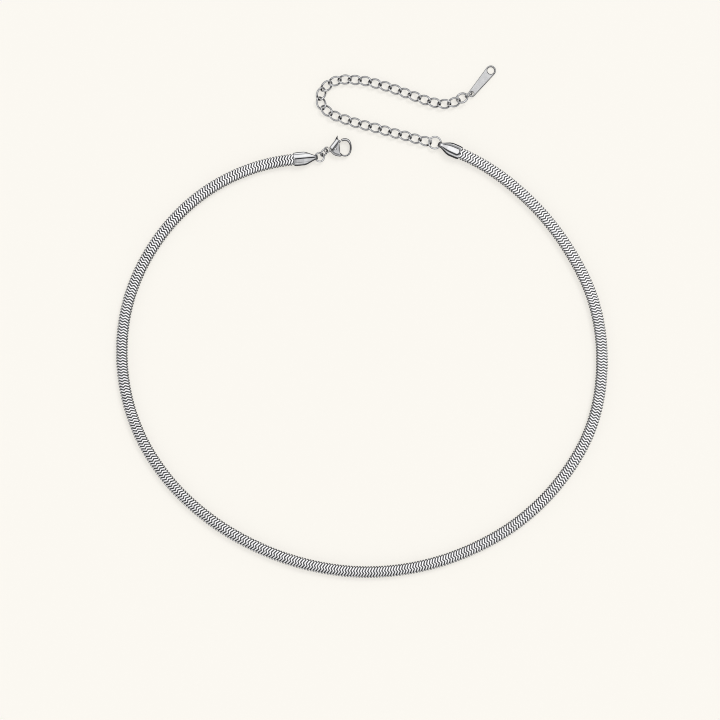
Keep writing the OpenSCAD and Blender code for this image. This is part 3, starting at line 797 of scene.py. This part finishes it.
def lever_sdf(x, y, z):
    zz = z - 1.0
    d2 = plan_sdf(x, y, LEVER)
    bar = smax(slab(d2, zz, 0.53, 0.14), (np.abs(zz) - 0.36 - 0.5 * np.clip(-d2, 0, 0.34)) * 0.9, 0.08)
    hub = slab(np.hypot(x - PIVOT_AT[0], y - PIVOT_AT[1]) - 0.72, zz, 0.53, 0.06)
    body = smin(bar, hub, 0.06)
    return smax(body, -(np.hypot(x - PIVOT_AT[0], y - PIVOT_AT[1]) - 0.35), 0.04)


lv, lf = surface(lever_sdf, (-4.6, -1.4, 0.4), (-0.9, 3.55, 1.6), 0.045)
# painted shade at its foot and thumb tip
lever_painted_shade = np.maximum(0.85 * np.exp(-(near_line(lv, (-4.42, 0.0), (-3.68, -0.92)) / 0.15) ** 2),
                          0.92 * ease((lv[:, 1] - 2.05) / 0.4))
# and painted shadow on its face close to the palm's edge
lever_painted_shade = np.maximum(lever_painted_shade, 0.9 * np.exp(-(near_line(lv, (-3.8, -0.98), (-1.78, 1.72)) / 0.24) ** 2))
lever = make("clasp_lever_cast", place(lv, (CLASP_AT[0], CLASP_AT[1], 0)), lf, painted_shade=lever_painted_shade, side=0.92, steep=(0.96, 0.62))
dress(lever, clasp_steel, "clasp_steel", "clasp_lever", body="lever")


def turned(name, profile, at, sides=40):
    """A solid of revolution about Z from rows of [radius, height]."""
    prof = np.array(profile, float)
    k = np.radians(360 * np.arange(sides) / sides)
    v = np.stack([prof[:, 0][:, None] * np.cos(k), prof[:, 0][:, None] * np.sin(k), prof[:, 1][:, None] + 0 * k], -1).reshape(-1, 3) + np.array(at)
    n = len(prof)
    return make(name, v, ring_faces(1, n, sides, False)[:, ::-1],
                (np.arange(sides)[::-1], np.arange((n - 1) * sides, n * sides)), sharp=50)


pin = turned("clasp_pin_rivet", [
    [0.16, 0.03], [0.25, 0.05], [0.295, 0.10], [0.3, 0.16], [0.3, 1.84], [0.295, 1.90], [0.25, 1.95], [0.16, 1.97]],
    (CLASP_AT[0] + PIVOT_AT[0], CLASP_AT[1] + PIVOT_AT[1], 0))
dress(pin, clasp_steel, "clasp_steel", "clasp_pin")


# ------------------------------------------------------------------ tag
TAG_T, TAG_NEAR_R, TAG_FAR_R = 0.5, 0.98, 1.47
TAG_NEAR, TAG_FAR = np.array([31.72, 65.3]) + LAY, np.array([37.18, 71.94]) + LAY
TAG_RUN = float(np.linalg.norm(TAG_FAR - TAG_NEAR))
TAG_SLOPE = math.degrees(math.asin((0.73 - TAG_T / 2) / (TAG_RUN + TAG_FAR_R)))


def tag_sdf(x, y, z):
    # a straight taper between two round ends
    b = (TAG_FAR_R - TAG_NEAR_R) / TAG_RUN
    a = math.sqrt(1 - b * b)
    py = np.abs(y)
    k = -py * b + x * a
    d = np.where(k < 0, np.hypot(x, py) - TAG_NEAR_R,
                 np.where(k > a * TAG_RUN, np.hypot(x - TAG_RUN, py) - TAG_FAR_R, x * -b + py * a - TAG_NEAR_R))
    body = slab(d, z, TAG_T / 2, 0.07)
    # edges rolled a little by the press, round the outline and both holes
    near, far = np.hypot(x, y) - 0.58, np.hypot(x - TAG_RUN, y) - 1.0
    rolled = np.maximum(np.maximum(d + 0.17, 0), np.maximum(np.maximum(0.15 - near, 0), np.maximum(0.2 - far, 0)))
    body = smax(body, (np.abs(z) - TAG_T / 2 + 0.5 * rolled) * 0.9, 0.02)
    body = smax(body, -near, 0.05)
    return smax(body, -far, 0.05)


tv, tf = surface(tag_sdf, (-1.1, -1.6, -0.36), (TAG_RUN + 1.6, 1.6, 0.36), 0.055)
th = math.atan2(TAG_FAR[1] - TAG_NEAR[1], TAG_FAR[0] - TAG_NEAR[0])
# painted shade along the lower right edge and round the large hole
tag_b = (TAG_FAR_R - TAG_NEAR_R) / TAG_RUN
edge = -(tv[:, 0] * -tag_b + np.abs(tv[:, 1]) * math.sqrt(1 - tag_b ** 2) - TAG_NEAR_R)
tag_painted_shade = np.maximum(0.8 * np.exp(-(edge / 0.22) ** 2) * (tv[:, 1] < 0),
                        0.75 * np.exp(-((np.hypot(tv[:, 0] - TAG_RUN, tv[:, 1]) - 1.05) / 0.16) ** 2))
tag = make("tag_plate", place(tv, (TAG_NEAR[0], TAG_NEAR[1], 0.73), th, rot("y", TAG_SLOPE)), tf, painted_shade=tag_painted_shade)
dress(tag, tag_steel, "tag_steel", "tag")


# ------------------------------------------------------------------ floor, light, camera
def paint(name, colour, rough, glow=(0, 0, 0, 0)):
    m = bpy.data.materials.new(name)
    m.use_nodes = True
    nt = m.node_tree
    b = nt.nodes["Principled BSDF"]
    b.inputs["Roughness"].default_value = rough
    b.inputs["Specular IOR Level"].default_value = 0.0
    b.inputs["Base Color"].default_value = list(colour) + [1]
    b.inputs["Emission Color"].default_value = list(glow[:3]) + [1]
    b.inputs["Emission Strength"].default_value = glow[3]
    return m


bpy.ops.mesh.primitive_plane_add(size=6, location=(0, 0, -0.00002))
floor = bpy.context.object
floor.name = "floor"
floor.visible_glossy = False
floor.data.materials.append(paint("floor_paper", (0.48, 0.466, 0.437), 0.9, (0.965, 0.939, 0.879, 0.629)))

sc = bpy.context.scene
world = bpy.data.worlds.new("studio")
sc.world = world
world.use_nodes = True
nt = world.node_tree
bg = nt.nodes["Background"]
tc = nt.nodes.new("ShaderNodeTexCoord")
dot = nt.nodes.new("ShaderNodeVectorMath")
dot.operation = "DOT_PRODUCT"
c = np.array([0.16, 0.26, 0.95])
dot.inputs[1].default_value = tuple(c / np.linalg.norm(c))
nt.links.new(tc.outputs["Generated"], dot.inputs[0])
ramp = nt.nodes.new("ShaderNodeValToRGB")
ramp.color_ramp.interpolation = "EASE"
cr = ramp.color_ramp
cr.elements[0].position, cr.elements[0].color = 0.0, (0.46, 0.46, 0.46, 1)
cr.elements[1].position, cr.elements[1].color = 1.0, (1, 1, 1, 1)
for pos, val in ((0.22, 0.46), (0.45, 0.42), (0.62, 0.32), (0.73, 0.24), (0.80, 0.26), (0.87, 0.54), (0.92, 1.0)):
    e = cr.elements.new(pos)
    e.color = (val, val, val * 1.01, 1)
nt.links.new(dot.outputs["Value"], ramp.inputs["Fac"])
# a dark band at the horizon and a dark ground straight below, which outline rounded metal
xyz = nt.nodes.new("ShaderNodeSeparateXYZ")
nt.links.new(tc.outputs["Generated"], xyz.inputs[0])
half = nt.nodes.new("ShaderNodeMapRange")
half.inputs["From Min"].default_value = -1.0
nt.links.new(xyz.outputs["Z"], half.inputs["Value"])
band = nt.nodes.new("ShaderNodeValToRGB")
band.color_ramp.interpolation = "EASE"
be = band.color_ramp.elements
be[0].position, be[0].color = 0.0, (0.08, 0.08, 0.08, 1)
be[1].position, be[1].color = 1.0, (1, 1, 1, 1)
for pos, val in ((-0.84, 0.08), (-0.60, 1.0), (-0.38, 1.0), (-0.14, 0.30), (0.10, 0.30), (0.30, 1.0)):
    be.new(0.5 + 0.5 * pos).color = (val, val, val, 1)
nt.links.new(half.outputs["Result"], band.inputs["Fac"])
layers = nt.nodes.new("ShaderNodeVectorMath")
layers.operation = "MULTIPLY"
nt.links.new(ramp.outputs["Color"], layers.inputs[0])
nt.links.new(band.outputs["Color"], layers.inputs[1])
# a weaker fill from low at the front left
low = nt.nodes.new("ShaderNodeVectorMath")
low.operation = "DOT_PRODUCT"
c = np.array([-0.50, -0.68, 0.54])
low.inputs[1].default_value = tuple(c / np.linalg.norm(c))
nt.links.new(tc.outputs["Generated"], low.inputs[0])
soft = nt.nodes.new("ShaderNodeMapRange")
soft.interpolation_type = "SMOOTHSTEP"
soft.inputs["From Min"].default_value = 0.62
soft.inputs["From Max"].default_value = 0.93
soft.inputs["To Min"].default_value = 0.0
soft.inputs["To Max"].default_value = 0.12
nt.links.new(low.outputs["Value"], soft.inputs["Value"])
both = nt.nodes.new("ShaderNodeVectorMath")
both.operation = "ADD"
nt.links.new(layers.outputs["Vector"], both.inputs[0])
nt.links.new(soft.outputs["Result"], both.inputs[1])
nt.links.new(both.outputs["Vector"], bg.inputs["Color"])
bg.inputs["Strength"].default_value = 1.15

sun = bpy.data.lights.new("key", "SUN")
sun.energy = 0.7
sun.angle = math.radians(24)
key = bpy.data.objects.new("key", sun)
key.rotation_euler = (math.radians(-32), math.radians(26), 0)
key.visible_glossy = False
sc.collection.objects.link(key)

cam = bpy.data.cameras.new("camera")
cam.lens = 100
cam.sensor_width = 36
cam_ob = bpy.data.objects.new("camera", cam)
WIDTH = 0.2059
cam_ob.location = (-0.00043, -0.01104, WIDTH * cam.lens / cam.sensor_width + 0.0014)
cam.clip_start, cam.clip_end = 0.01, 10
sc.collection.objects.link(cam_ob)
sc.camera = cam_ob
sc.cycles.filter_width = 1.0
sc.view_settings.view_transform = "Standard"
sc.view_settings.look = "None"
